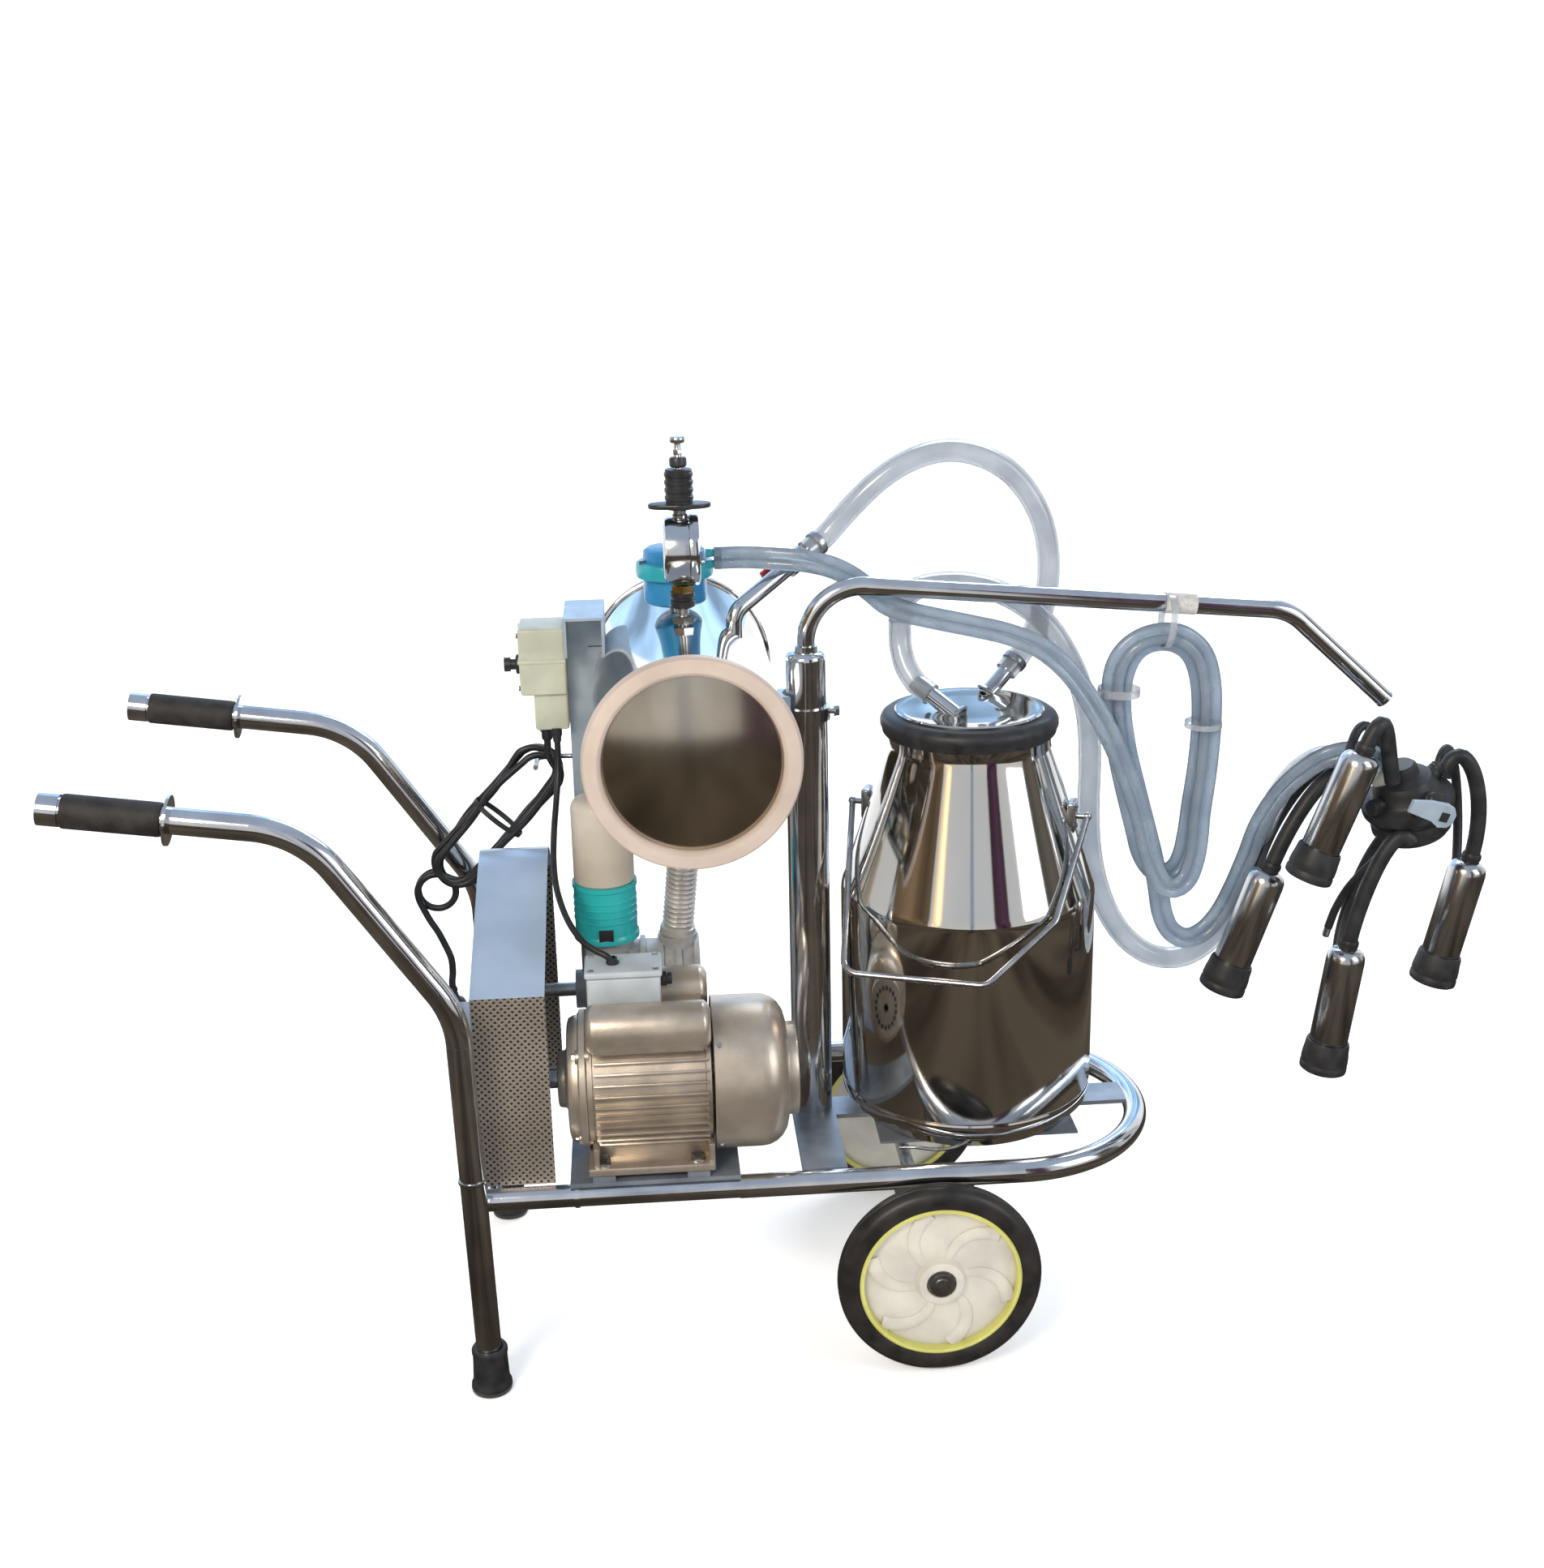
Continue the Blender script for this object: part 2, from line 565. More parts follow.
for k in range(LOOPS):
    rad, depth, last = 23 + k, 137 + 8 * k, k == LOOPS - 1
    sway = 5 * sin(2.1 * k)
    turn = [pi * step / 9 for step in range(10)]
    for a in turn[5:] if k == 0 else turn:
        x, _, z = hank_point(0, sway - rad * cos(a), depth)
        power_points.append((x - reach.x * rad * sin(a), depth - 3 + a, z - reach.z * rad * sin(a)))
    power_points += [hank_point(f, rad + 3 * sin(f * 5 + k), depth) for f in (0.33, 0.66)]
    for a in turn[:5] if last else turn:
        x, _, z = hank_point(1, rad * cos(a) - sway, depth)
        power_points.append((x + reach.x * rad * sin(a), depth, z + reach.z * rad * sin(a)))
    if not last:
        power_points += [hank_point(f, -rad - 1.5 - 2 * sin(f * 7 + 2 * k), depth + 3) for f in (0.66, 0.33)]
for step in range(16):
    a = radians(93 + 31 * step)
    power_points.append((HANK_LOOP.x + 22 * cos(a), 161 - 0.8 * step, HANK_LOOP.z + 22 * sin(a)))
power_points += [(-441, 149, 428), (-434, 149, 412), (-426, 149.5, 397), (-419, 150, 380), (-413, 150, 362),
    (-412.5, 150, 344), (-414, 150, 333), (-414, 150, 324)]
power_line = resample(spline(power_points, 3), 3)
power_cord = sweep(power_line, circle(CORD_R, 12), "cord", name="mains_cord")
plug_at = power_points[-1]
plug_parts = [lathe([(0, 2), (4.8, 1.6), (5.4, 0), (5.8, -3), (5.2, -4), (5.2, -6), (6.2, -7), (6.2, -9),
        (8, -12), (13, -15), (15, -19), (15, -38), (13.5, -40), (0, -40)], plug_at, UP, "black"),
    block((plug_at[0] - 14.8, plug_at[1] - 5, plug_at[2] - 39), (plug_at[0] + 14.8, plug_at[1] + 5,
        plug_at[2] - 20), "black", 3)]
for pin_side in (-1, 1):
    plug_parts.append(lathe([(0, -59), (1.6, -59), (2.4, -57.5), (2.4, -40)],
            (plug_at[0] + pin_side * 9.5, plug_at[1], plug_at[2]), UP, "brass", 16))
plug = join("mains_plug", plug_parts)
done(plug, "frame", "black_plastic", "power_plug")
done(power_cord, "frame", "black_plastic", "power_cord", "cord_hank")

CABLE_R = 3.5
motor_cable_points = [(-272, 110, 642), (-272, 109, 622), (-273, 102, 598), (-276, 86, 572), (-279, 62, 546),
    (-280, 36, 524), (-278, 8, 506), (-272, -22, 492), (-262, -50, 478), (-248, -72, 466), (-234, -84, 460),
    (-222, -90, 455), (-218, -90, 446)]
motor_cable_line = spline(motor_cable_points, 5)
motor_cable = sweep(motor_cable_line, circle(CABLE_R, 12), "cord", name="motor_cable_run")
done(motor_cable, "frame", "black_plastic", "motor_cable")

# ------------------------------------------------------------------ frame, grips and feet
PAINT = {"base_loop": "chrome", "cross_members": "deck", "handle_tubes": "chrome", "post": "chrome",
    "post_sleeve": "chrome", "tank_supports": "bracket", "axle": "steel", "frame_bolts": "steel",
    "motor_stator": "copper", "rotor_shaft": "steel", "motor_pulley": "iron", "cooling_fan": "black",
    "drive_belt": "rubber", "pump_housing": "cast", "pump_rotor": "steel", "pump_pulley": "iron",
    "arm_tube": "chrome", "vacuum_pipe": "chrome", "bail": "steel", "regulator_screw": "steel",
    "switch_button": "black"}
for node_name, material in PAINT.items():
    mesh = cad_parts[node_name].data
    mesh.materials.clear()
    mesh.materials.append(M[material])

HANDLE_Y = 184
GRIP_DIR = (0.98970, 0, -0.14314)
grips = []
for s in (-1, 1):
    profile = [(13.6, 18), (16.4, 18.4), (17, 20)]
    for k in range(30):
        h = 21 + k * 2.93
        profile += [(17.0, h), (17.25, h + 0.9), (17.0, h + 1.8)]
    profile += [(17, 110), (16.4, 111.6), (13.6, 112)]
    grips.append(lathe(profile, (-752, s * HANDLE_Y, 676), GRIP_DIR, "grip"))
done(join("grips", grips), "frame", "black_rubber", "handle_grips")

feet = []
for s in (-1, 1):
    feet.append(lathe([(0, 0), (19, 0), (21.4, 1.4), (22, 4), (21.6, 9), (19.6, 12), (19.2, 20), (18.6, 34),
            (18.4, 44), (19.2, 46), (19.2, 50), (18, 52), (14.1, 52), (14.1, 40)], (-367, s * HANDLE_Y, 0),
            UP, "rubber"))
done(join("feet", feet), "frame", "black_rubber", "rubber_feet")

# ------------------------------------------------------------------ wheels
WHEEL_X, WHEEL_Z, WHEEL_Y = 117, 110, 192


def wheel(side, name):
    at = (WHEEL_X, side * WHEEL_Y, WHEEL_Z)
    out = (0, side, 0)
    half = [(87.5, -13), (90, -14.4), (97, -15.8), (103, -14.6), (107, -11.4), (109.2, -7), (109.9, -4),
        (109.2, -3.2), (109.2, -2.4), (110, -1.6)]
    tread = half + [(r, -h) for r, h in reversed(half)] + half[:1]
    tyre = lathe(tread, at, out, "tyre", 96, name="tyre_" + name)
    done(tyre, "wheel_" + name, "tyre_rubber", "tyre_" + name)
    rim = lathe([(87.6, -12), (87.6, 12.4), (85.5, 13.6), (83, 13.2), (82.4, 11), (82, 6), (82, 3), (82, -3),
            (82, -12), (87.6, -12)], at, out, "hub_rim", 96)
    disc = lathe([(82.2, -6), (82.2, 3.6), (78, 4.6), (60, 5.2), (40, 6.4), (28, 8), (25.5, 12), (24.5, 15.2),
            (22.5, 16.4), (16.2, 16.4), (15.8, 15.6), (15.8, 12), (8.1, 12), (8.1, -16.4), (22, -16.4),
            (25, -12), (28, -8), (60, -6), (82.2, -6)], at, out, "hub", 96)
    bearing = lathe([(8.1, 13), (9.4, 14.6), (10.8, 14.8), (11.2, 13.6), (12.8, 13.6), (13.2, 14.8),
            (15, 14.6), (15.7, 13.4), (15.7, 12.1), (8.1, 12.1), (8.1, 13)], at, out, "iron", 48)
    pieces = [rim, disc, bearing]
    for k in range(6):
        a0 = radians(60 * k + 12)
        line = []
        for step in range(9):
            f = step / 8
            r = 25 + 55 * f
            a = a0 + side * radians(34) * f * f
            line.append(Vector((WHEEL_X + r * cos(a), side * (WHEEL_Y + 7.4 - 3.2 * f),
                    WHEEL_Z + r * sin(a))))
        ridge = [(-8, -3), (8, -3), (7, 1.2), (4.5, 3), (-4.5, 3), (-7, 1.2)]
        pieces.append(sweep(line, ridge, "hub", ref=(0, side, 0), scale=lambda t: 0.65 + 0.5 * t))
    done(join("hub_" + name + "_wheel", pieces), "wheel_" + name, "cream_plastic", "hub_" + name)


wheel(-1, "near")
wheel(1, "far")

# ------------------------------------------------------------------ electric motor
MOTOR_Y, MOTOR_Z = -90, 316
def on_motor(x):
    return (x, MOTOR_Y, MOTOR_Z)


parts = [lathe([(60, 0), (71, 0), (72, 1), (72, 6), (70, 7), (70, 125), (72, 126), (72, 131), (71, 132),
        (60, 132)], on_motor(-250), X, "motor", 96)]
for s in (-1, 1):
    for k in range(11):
        a = radians(90 + (k - 5) * 9) * s
        turn = Matrix.Rotation(-a, 3, "X")
        fin = block((-242, MOTOR_Y - 1.5, MOTOR_Z - 77), (-122, MOTOR_Y + 1.5, MOTOR_Z - 69), "motor", 0.9, 2,
            turn, (-180, MOTOR_Y, MOTOR_Z))
        parts.append(fin)
for s in (-1, 1):
    parts.append(block((-247, MOTOR_Y + s * 36 - 12, 236), (-121, MOTOR_Y + s * 36 + 12, 276), "motor", 2.5))
parts.append(block((-252, MOTOR_Y - 74, 236), (-118, MOTOR_Y + 74, 245), "motor", 2))
for x in (-246, -124):
    parts.append(block((x, MOTOR_Y - 70, 240), (x + 6, MOTOR_Y + 70, 266), "motor", 1.5))
done(join("motor_body", parts), "frame", "motor_paint", "motor_housing")

parts = [lathe([(56, 0), (73, 0), (74, -1), (74, -7), (72.5, -8), (68, -9), (67.6, -14), (65, -19),
        (60, -20.5), (36, -21), (31, -24), (29.5, -31), (27, -32), (11, -32), (11, -20), (56, -18), (56, 0)],
        on_motor(-250), X, "motor", 96)]
for k in range(4):
    a = radians(45 + 90 * k)
    y, z = MOTOR_Y + 66 * cos(a), MOTOR_Z + 66 * sin(a)
    parts.append(lathe(solid([(7.5, -11), (8, -10), (8, 4)]), (-250, y, z), X, "motor", 24))
    parts.append(hexagon((-261, y, z), (-1, 0, 0), 8, -0.5, 4, "steel"))
done(join("motor_bell", parts), "frame", "motor_paint", "motor_end_bell")

cover = [(81, 0), (82, 0.8), (82, 50), (81, 58), (77.5, 66), (72, 72.5), (64, 77.5), (54, 80), (50.4, 80.6),
    (50, 82), (50, 89), (48.5, 91), (44, 91.5), (7, 91.5), (7, 90), (44, 89.5), (47, 88), (47.5, 79),
    (62, 76), (71, 70.5), (76, 64.5), (79, 58), (80.2, 50), (80.2, 0), (81, 0)]
parts = [lathe(cover, on_motor(-116), X, "motor", 96)]
for k in range(4):
    a = radians(45 + 90 * k)
    parts.append(hexagon((-110, MOTOR_Y + 81.4 * cos(a), MOTOR_Z + 81.4 * sin(a)), (0, cos(a), sin(a)), 6, 0,
            2.6, "steel"))
for k in range(18):
    a = radians(20 * k)
    y, z = MOTOR_Y + 32 * cos(a), MOTOR_Z + 32 * sin(a)
    parts.append(lathe([(0, 0), (4, 0), (4.4, 0.5), (4, 0.9), (0, 0.9)], (-24.6, y, z), X, "black", 12))
done(join("motor_cowl", parts), "frame", "motor_paint", "fan_cover")

parts = []
for s in (-1, 1):
    cy = MOTOR_Y + s * 47
    parts.append(lathe([(0, 0), (17, 0), (22, 2), (25.5, 6), (26, 9), (26, 122), (25.5, 125), (22, 129),
            (17, 131), (0, 131)], (-249, cy, 394), X, "motor", 48))
    parts.append(block((-242, cy - 20, 372), (-126, cy + 20, 394), "motor", 2.5))
done(join("capacitors", parts), "frame", "motor_paint", "capacitor_covers")

parts = [block((-246, MOTOR_Y - 24, 386), (-168, MOTOR_Y + 24, 440), "grey", 3, 3),
    block((-248, MOTOR_Y - 26, 440.5), (-166, MOTOR_Y + 26, 448), "grey", 2.5, 3)]
for sx in (-241, -173):
    for sy in (-20, 20):
        parts.append(lathe(rounded(3.2, 0, 1.6, 0.6), (sx, MOTOR_Y + sy, 447.6), UP, "steel", 16))
parts.append(lathe([(0, 0), (8, 0), (8, 6), (6.5, 7), (6.5, 12), (4, 12.5), (0, 12.5)], (-168, MOTOR_Y, 428),
        X, "black", 24))
parts.append(lathe([(0, 0), (7, 0), (7, 3), (5.2, 4.2), (5.2, 7), (3.6, 7.6)], (-218, MOTOR_Y, 447.5),
        (0, 0, 1), "black", 24))
done(join("motor_terminals", parts), "frame", "grey_plastic", "terminal_box")

# ------------------------------------------------------------------ belt guard
GUARD_X0, GUARD_X1, GUARD_LOW = -365, -288, 224.4
profile = [(-150, GUARD_LOW), (-150, 440), (40, 507), (62, 514), (84, 518), (103, 514), (118, 503),
    (128, 484), (132, 460), (132, GUARD_LOW)]
verts, faces = [], []
for x, inset in ((GUARD_X0, 0), (GUARD_X1, 0), (GUARD_X1, 1.6), (GUARD_X0 + 1.6, 1.6)):
    for y, z in profile:
        verts.append(P(x, y + (inset if y < 0 else -inset), z - (inset if z > 230 else 0)))
n = len(profile)
for ring in range(3):
    for k in range(n - 1):
        faces.append((ring * n + k, ring * n + k + 1, (ring + 1) * n + k + 1, (ring + 1) * n + k))
faces.append(tuple(range(n)))
faces.append(tuple(3 * n + k for k in reversed(range(n))))
faces.append((0, n, 2 * n, 3 * n))
faces.append((n - 1, 2 * n - 1, 3 * n - 1, 4 * n - 1))
guard = put("guard_box", verts, faces, "guard")
guard.data.materials.append(M["perforated"])
for poly in guard.data.polygons:
    if poly.normal.y < -0.95:
        poly.material_index = 1
parts = [guard, block((-379, -150, GUARD_LOW), (-364.5, -148, 438), "guard", 0.6)]
for z in (240, 330, 420):
    parts.append(hexagon((-372, -150, z), (0, -1, 0), 8, 0, 3.5, "steel"))
done(join("guard_shell", parts), "frame", "guard_paint", "belt_guard")

# ------------------------------------------------------------------ vacuum tank
TANK_X, TANK_Z = -128, 690
tank = lathe([(94, -158), (100, -159.6), (103, -159.8), (104.4, -158.6), (104.4, -155), (103, -154),
        (101.4, -153), (101, -150), (101, 230), (101.6, 231.6), (105, 232), (106.2, 233), (106.2, 236),
        (105, 237), (103, 237.2), (103, 238.8), (105, 239), (106, 240), (106, 242), (104.6, 243.4),
        (96, 244.2), (80, 246.5), (50, 248.6), (0, 249.2)], (TANK_X, 0, TANK_Z), Y, "mirror", 128)
seal = lathe([(103.4, 237), (105.4, 237), (105.4, 239), (103.4, 239), (103.4, 237)], (TANK_X, 0, TANK_Z), Y,
    "rubber", 96)
done(join("tank_body", [tank, seal]), "frame", "polished_steel", "tank_shell")
gasket = lathe([(90, -162), (90, -174), (91.5, -178.4), (94.5, -180.6), (98, -180.4), (104, -178.4),
        (107, -177.6), (109.2, -174.6), (110, -170), (109.2, -165), (106.6, -161.2), (102, -160.4),
        (92, -160.6), (90, -162)], (TANK_X, 0, TANK_Z), Y, "gasket", 128, name="gasket_ring")
done(gasket, "tank_end", "cream_rubber", "tank_gasket")
dome = [(0, -183.8)]
for k in range(1, 25):
    r = 89.6 * k / 24
    dome.append((r, -183.8 + 11.5 * (r / 89.6) ** 2))
dome += [(89.8, -171.5), (89.8, -166), (0, -166)]
cover = lathe(dome, (TANK_X, 0, TANK_Z), Y, "dome", 128, name="cover_dome")
done(cover, "tank_end", "polished_steel", "tank_cover")

# ------------------------------------------------------------------ oil bottle and suction hose
OIL = (-226, 62)
OIL_Z, BOTTLE_Z = 418, 486
base = lathe([(0, 0), (34, 0), (37, 1), (37, 6), (35.5, 8), (35, 10), (35, 62), (36.4, 63), (36.4, 68),
        (0, 68)], (*OIL, OIL_Z), UP, "oil_teal", 64)
notch = plate([(-8, 6), (8, 6), (8, 20), (-8, 20)], 2, lambda u, v,
    w: (OIL[0] + u, OIL[1] - 34.2 - w, OIL_Z + v), "black", 0.4)
ribs = [lathe([(34.6, h), (35.8, h + 0.8), (35.8, h + 2.4), (34.6, h + 3.2)], (*OIL, OIL_Z), UP, "oil_teal",
        64) for h in (24, 32, 40, 48)]
done(join("oil_cup", [base, notch] + ribs), "frame", "teal_plastic", "oil_base")
bottle = lathe([(0, 0), (32, 0), (34, 2), (34, 86), (33, 91), (30, 95.5), (25, 98.6), (18, 99.8), (0, 100)],
    (*OIL, BOTTLE_Z), UP, "bottle", 64, name="oil_bottle_body")
done(bottle, "frame", "cream_plastic", "oil_bottle")

low_end, high_end = Vector((-146, 62, 418)), Vector((-128, 62, 591))
profile = [(0, 0), (20, 0), (20, 8), (17, 9)]
run = (high_end - low_end).length
count = 26
for k in range(count):
    h = 10 + (run - 24) * k / count
    step = (run - 24) / count
    profile += [(15.2, h), (17.4, h + step * 0.25), (18.2, h + step * 0.5), (17.4, h + step * 0.75)]
profile += [(15.2, run - 14), (19, run - 13), (19, run), (0, run)]
done(lathe(profile, low_end, high_end - low_end, "ribbed", 48, name="suction_bellows"), "frame", "clear_hose",
    "suction_hose")

# ------------------------------------------------------------------ fittings on top of the tank
TOP = 791
S0 = (TANK_X, 0, 0)
parts = [lathe([(5, TOP - 4), (6, TOP - 3), (6, TOP + 20), (5, TOP + 21)], S0, UP, "steel", 24),
    hexagon(S0, UP, 22, TOP + 2, TOP + 10, "steel"), lathe([(0, 809), (10, 809), (13, 811), (13, 817),
        (11, 818), (11, 820), (12.8, 821), (12.8, 826), (0, 826)], S0, UP, "black", 48),
    hexagon(S0, UP, 22, 826, 833.5, "brass"), lathe([(8, 904), (8, 907), (7, 908), (7, 911), (9, 912)], S0,
        UP, "steel", 32), lathe([(0, 912), (9, 912), (14, 913), (14, 915), (14, 953), (13, 954), (0, 954)],
        S0, UP, "black", 48)]
wing = []
for k in range(48):
    a = 2 * pi * k / 48
    r = 17 + 15.5 * abs(cos(a)) ** 5
    wing.append((r * cos(a), r * sin(a)))
parts.append(plate(wing, 5, lambda u, v, w: (TANK_X + u, v, 914 + w), "black", 1.2))
for h in (922, 930, 938, 946):
    parts.append(lathe([(14, h), (15, h + 1), (15, h + 4), (14, h + 5)], S0, UP, "black", 48))
done(join("regulator_stack", parts), "frame", "black_plastic", "regulator_body")
parts = [lathe([(4.04, 955.5), (7.4, 956), (9, 957.5), (9, 964), (8, 966), (4.04, 966.4)], S0, UP, "black",
        32), lathe([(0, 923), (4.04, 923), (4.04, 973), (3.4, 974), (3.4, 981), (0, 981)], S0, UP, "steel",
        24), hexagon(S0, UP, 9, 969, 974, "steel"), lathe([(0, 980), (4, 980), (7, 981), (8, 982.4),
        (8, 985.4), (7, 987), (0, 987)], S0, UP, "steel", 32)]
done(join("regulator_knob", parts), "regulator", "machined_steel", "regulator_screw")
GX, GZ = TANK_X - 19, 870  # the gauge
parts = [lathe([(0, 0), (24, 0), (30, 0.8), (33.4, 3), (34.6, 7), (34.8, 27), (36.4, 28), (37, 30),
        (37, 35.5), (36, 37.4), (34, 38), (32.4, 37.2), (32, 35.4), (0, 35.4)], (GX, 0, GZ), X, "chrome", 80),
    lathe([(0, 35.5), (31.6, 35.5), (31.6, 35.8), (0, 35.8)], (GX, 0, GZ), X, "white", 48),
    block((GX + 36.0, -1, GZ - 6), (GX + 36.6, 1, GZ + 22), "red", 0.25, 1),
    lathe(rounded(3, 35.8, 37.8, 0.5), (GX, 0, GZ), X, "black", 16)]
for k in range(11):
    a = radians(-135 + 27 * k)
    y, z = 27 * sin(a), 27 * cos(a)
    parts.append(block((GX + 35.8, -0.6 + y, GZ + z - 2.5), (GX + 36.3, 0.6 + y, GZ + z + 2.5), "black", 0.2,
            1, Matrix.Rotation(-a, 3, "X"), (GX + 36.0, y, GZ + z)))
done(join("gauge_dial", parts), "frame", "chrome_tube", "vacuum_gauge")

PX, PY = -134, 70  # the pulsator
parts = [lathe([(7, TOP - 6), (7, TOP + 12), (8, TOP + 12)], (PX, PY, 0), UP, "steel", 24),
    lathe([(0, 800), (30, 800), (33, 802), (34, 806), (34, 828), (33, 829), (0, 829)], (PX, PY, 0), UP,
        "blue", 64), lathe([(0, 828), (38, 828), (41.4, 830), (42, 833), (42, 842), (41, 844.6), (38, 846),
        (0, 846)], (PX, PY, 0), UP, "teal", 64), lathe([(0, 846), (34, 846), (34, 852), (33, 857), (29, 860),
        (0, 860)], (PX, PY, 0), UP, "blue", 64), lathe([(0, 859), (12, 859), (12, 866), (10.5, 867),
        (0, 867)], (PX, PY, 0), UP, "white", 48)]
for k in range(6):
    a = radians(60 * k + 20)
    parts.append(hexagon((PX + 37 * cos(a), PY + 37 * sin(a), 0), UP, 6, 845.6, 849, "steel"))
for s in (-1, 1):
    parts.append(lathe([(0, 0), (4.6, 0), (4.6, 6), (4.0, 7), (4.6, 9), (4.0, 11), (4.6, 13), (4.0, 15),
            (4.4, 17), (0, 17)], (-101, 50, 850 + s * 6), X, "teal", 20))
done(join("pulsator_unit", parts), "frame", "blue_plastic", "pulsator_body")

# ------------------------------------------------------------------ valve lever
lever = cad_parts["valve_lever"]
lever.data.materials.clear()
lever.data.materials.append(M["red"])

# ------------------------------------------------------------------ switch box
parts = [block((-309, 100, 692), (-257.2, 160, 768), "cream", 3.5, 3),
    block((-295, 106, 650), (-257.2, 154, 693), "cream", 3.5, 3), block((-310.5, 98.5, 728),
        (-257.2, 161.5, 733), "cream", 1.6), lathe([(6.5, 0), (11, 0), (11, -4), (9.5, -5), (6.5, -5)],
        (-309, 130, 722), X, "black", 32), lathe([(4.1, 12), (8, 12), (8, 4), (6.4, 2), (6, -6), (4.1, -8)],
        (-284, 130, 640), UP, "black", 24), lathe([(3.6, 12), (6, 12), (6, 4), (5, 2), (4.4, -4), (3.6, -5)],
        (-272, 110, 640), UP, "black", 24)]
for z in (700, 760):
    for y in (106, 154):
        parts.append(lathe(rounded(3, 0, 1.8, 0.5), (-309.2, y, z), (-1, 0, 0), "steel", 16))
done(join("switch_case", parts), "frame", "cream_plastic", "switch_box")

# ------------------------------------------------------------------ milk bucket
BX, BZ = 176, 223
body = [(112, 14.4), (113, 2), (114, 0.4), (118, 0), (119.6, 1), (120, 3), (121, 12.4), (127, 14),
    (134, 16.4), (138, 20), (139.6, 25), (140, 30), (140, 34), (139.2, 35.2), (139.2, 36.8), (140, 38),
    (140, 258), (139.7, 263), (138.6, 268), (136.8, 272), (90.6, 417), (88.8, 423), (88, 428), (88, 440),
    (89.6, 441.2), (90, 443), (89, 444.8), (86.8, 445), (86, 443), (86, 428), (87, 422), (134, 273),
    (137, 266), (138, 258), (138, 30), (134, 20), (112, 17), (0, 17)]
bottom = [(0, 14.4), (112, 14.4)]
bucket = lathe(bottom + body, (BX, 0, BZ), UP, "mirror", 160)
parts = [bucket]
TURN = radians(-20)
for s in (-1, 1):
    ex, ey = cos(TURN) * s, sin(TURN) * s
    spin = Matrix.Rotation(TURN, 3, "Z")
    lug = block((BX + s * 113.5 - 4.5, -12, BZ + 333), (BX + s * 113.5 + 4.5, 12, BZ + 367), "steel", 2.5, 3,
        spin, (BX, 0, 0))
    parts.append(lug)
    for dz in (-11, 11):
        parts.append(lathe(rounded(2.8, 4, 6.2, 0.8), (BX + ex * 113.5, ey * 113.5, BZ + 350 + dz),
                (ex, ey, 0), "steel", 16))
done(join("milk_can", parts), "frame", "polished_steel", "bucket_body")

RIM = BZ + 445
gasket = lathe([(88.5, -6), (92, -6), (93.6, -4), (94.4, 0), (96, 4), (96, 9), (94, 13), (90, 16), (84, 17),
        (79, 17), (78.4, 15), (78.4, 0.6), (88.5, 0.4), (88.5, -6)], (BX, 0, RIM), UP, "rubber", 128,
    name="lid_ring")
done(gasket, "lid", "black_rubber", "lid_gasket")
parts = [lathe([(0, 12), (70, 12), (70, 3), (77.8, 3), (78, 16), (80, 17), (80.4, 19), (79, 20.4), (74, 20),
        (70, 18.6), (40, 20.2), (0, 21)], (BX, 0, RIM), UP, "mirror", 128)]
for base_at, tip, grow in (((162, -29, RIM + 16), (128, 5, 708), 1.25),
        ((204, 58, RIM + 16), (237, 75, 715), 1.1)):
    a, b = Vector(base_at), Vector(tip)
    line = [a + (b - a) * (k / 10) * grow for k in range(11)]
    parts.append(tube_wall(line, 9.0, 1.2, "chrome", 32))
    parts.append(lathe([(9, 0), (12, 1), (11, 3), (9.2, 4.4)], a + Vector((0, 0, 3)), b - a, "steel", 32))
done(join("lid_disc", parts), "lid", "polished_steel", "lid_plate")

# ------------------------------------------------------------------ claw, cups and short tubes
CLAW = Vector((662, -20, 566))
tilt = Matrix.Rotation(radians(-18), 3, "Y") @ Matrix.Rotation(radians(8), 3, "X")
claw_up = tilt @ Vector((0, 0, 1))


def at_claw(x, y, z):
    return CLAW + tilt @ Vector((x, y, z))


parts = [lathe([(0, -49), (14, -49), (20, -47), (24, -42), (38, -38), (42, -33), (43, -12), (46, -7),
        (49.5, -5), (50, -2), (50, 3), (49.5, 6), (46, 8), (40, 10), (36, 14), (34, 24), (30, 31), (22, 34),
        (18, 36), (17, 45), (14, 48), (0, 49)], CLAW, claw_up, "rubber", 64),
    lathe([(42.6, -30), (44, -29), (44, -16), (42.6, -15)], CLAW, claw_up, "black", 64)]
for a in (20, 110, 200, 290):
    d = tilt @ Vector((cos(radians(a)), sin(radians(a)), 0.25))
    start = at_claw(28 * cos(radians(a)), 28 * sin(radians(a)), 12)
    parts.append(lathe([(0, 0), (9.5, 0), (9.5, 14), (8.6, 15), (9.5, 17), (8.6, 19), (9.5, 21), (8, 22.5),
            (0, 22.5)], start, d, "rubber", 24))
NOZZLE_FROM, NOZZLE_TO = CLAW + Vector((-8, 0, 19)), CLAW + Vector((-52, 4, 41))
nozzle_len = (NOZZLE_TO - NOZZLE_FROM).length
parts.append(lathe([(0, 0), (15, 0), (15, nozzle_len - 22), (13, nozzle_len - 18), (10, nozzle_len - 16),
        (9.4, nozzle_len), (0, nozzle_len)], NOZZLE_FROM, NOZZLE_TO - NOZZLE_FROM, "cream", 40))
HOOK_TURN = radians(-36)
hook = [(-30, 9), (-8, 14), (12, 15), (20, 12), (25, 5), (25, -6), (20, -12), (10, -14), (0, -9), (-30, -5)]


def on_hook(u, v, w):
    """The bracket on the claw's front, turned down to the right."""
    c, s = cos(HOOK_TURN), sin(HOOK_TURN)
    return tuple(at_claw(8 + u * c - v * s, -50 - w, 8 + u * s + v * c))


